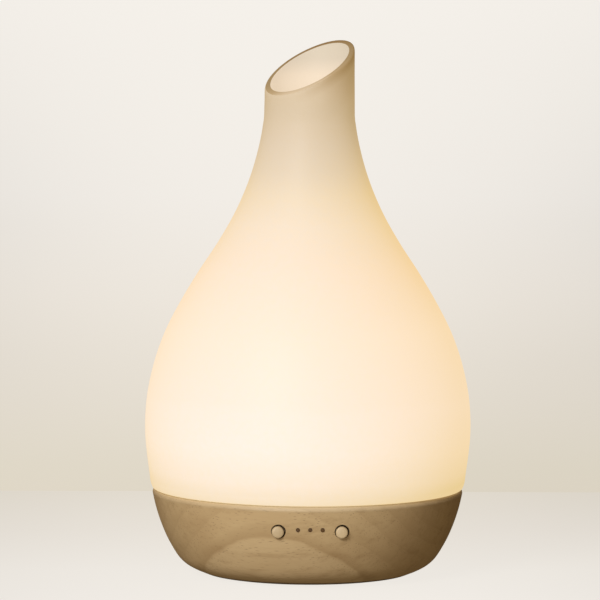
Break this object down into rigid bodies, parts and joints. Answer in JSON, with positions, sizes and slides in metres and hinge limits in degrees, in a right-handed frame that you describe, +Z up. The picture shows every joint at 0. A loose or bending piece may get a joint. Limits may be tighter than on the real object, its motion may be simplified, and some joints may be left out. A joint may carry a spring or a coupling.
{
  "type": "cool mist humidifier",
  "caption": "Drop-shaped cool mist humidifier: frosted glowing cover with slanted mist mouth on a shallow wood-grain base with push buttons; tank, mist disc and fan inside.",
  "frame": {"origin": "centre of the plane on which the four feet stand, under the cover's axis", "axes": "+Z up along the cover's axis, front with the buttons towards -Y, inlet socket towards +Y, +X to the right seen from the front"},
  "size_m": [0.1338, 0.1338, 0.22],
  "materials": {
    "frosted_cover": "frosted opal, lit from inside",
    "silicone": "translucent silicone",
    "inner_white": "moulded white",
    "tank_white": "moulded translucent white",
    "wood_grain": "pale wood-grain skin, satin",
    "dark_underside": "moulded, fine texture",
    "foot_rubber": "soft matte",
    "screw_steel": "zinc plated",
    "disc_ceramic": "silvered piezo ceramic",
    "board_green": "solder mask",
    "ferrite": "sintered",
    "copper": "enamelled copper wire",
    "capacitor_sleeve": "shrink sleeve",
    "chip_black": "moulded epoxy",
    "heat_sink_alu": "extruded",
    "connector_cream": "moulded nylon",
    "board_white": "white solder mask",
    "led_lens": "phosphor lens",
    "smoked_lens": "smoked clear",
    "button_tan": "painted, satin",
    "jack_black": "moulded",
    "pin_steel": "nickel plated",
    "fan_black": "glass-filled",
    "lead_red": "PVC insulation",
    "lead_white": "PVC insulation"
  },
  "bodies": {
    "base": {"water_tank": "tank_white", "base_shell": "wood_grain", "bottom_cover": "dark_underside", "rubber_feet": "foot_rubber", "bottom_screws": "screw_steel", "tank_screws": "screw_steel", "transducer_disc": "disc_ceramic", "transducer_gasket": "silicone", "transducer_clamp": "inner_white", "clamp_screws": "screw_steel", "main_board": "board_green", "board_screws": "screw_steel", "driver_core": "ferrite", "driver_winding": "copper", "filter_capacitors": "capacitor_sleeve", "driver_transistor": "chip_black", "heat_sink": "heat_sink_alu", "controller_chip": "chip_black", "board_connectors": "connector_cream", "led_board": "board_white", "light_leds": "led_lens", "button_board": "board_green", "switch_bodies": "chip_black", "indicator_leds": "led_lens", "indicator_light_guide": "smoked_lens", "dc_jack_housing": "jack_black", "dc_jack_pin": "pin_steel", "fan_frame": "fan_black", "fan_stator": "copper", "fan_screws": "screw_steel", "fan_duct": "inner_white", "fan_lead": "lead_red", "transducer_lead": "lead_white", "light_lead": "lead_white", "button_lead": "lead_white"},
    "seat": {"cover_seat_ring": "silicone"},
    "cover": {"outer_cover": "frosted_cover"},
    "lid": {"inner_cover": "inner_white"},
    "fan": {"fan_rotor": "fan_black", "fan_magnet": "ferrite", "fan_shaft": "pin_steel"},
    "button_left": {"button_cap_left": "button_tan", "switch_plunger_left": "chip_black"},
    "button_right": {"button_cap_right": "button_tan", "switch_plunger_right": "chip_black"}
  },
  "joints": [
    {"name": "cover_turn", "type": "hinge", "parent": "base", "child": "seat", "pos_m": [0, 0, 0.0345], "axis": [0, 0, 1], "continuous": true},
    {"name": "cover_lift", "type": "slide", "parent": "seat", "child": "cover", "axis": [0, 0, 1], "range_m": [0, 0.15]},
    {"name": "lid_lift", "type": "slide", "parent": "base", "child": "lid", "axis": [0, 0, 1], "range_m": [0, 0.026]},
    {"name": "fan_spin", "type": "hinge", "parent": "base", "child": "fan", "pos_m": [-0.025, 0.008, 0.0106], "axis": [0, 0, 1], "continuous": true},
    {"name": "button_left_press", "type": "slide", "parent": "base", "child": "button_left", "axis": [0, 1, 0], "range_m": [0, 0.0006], "stiffness_N_per_m": 800},
    {"name": "button_right_press", "type": "slide", "parent": "base", "child": "button_right", "axis": [0, 1, 0], "range_m": [0, 0.0006], "stiffness_N_per_m": 800}
  ]
}
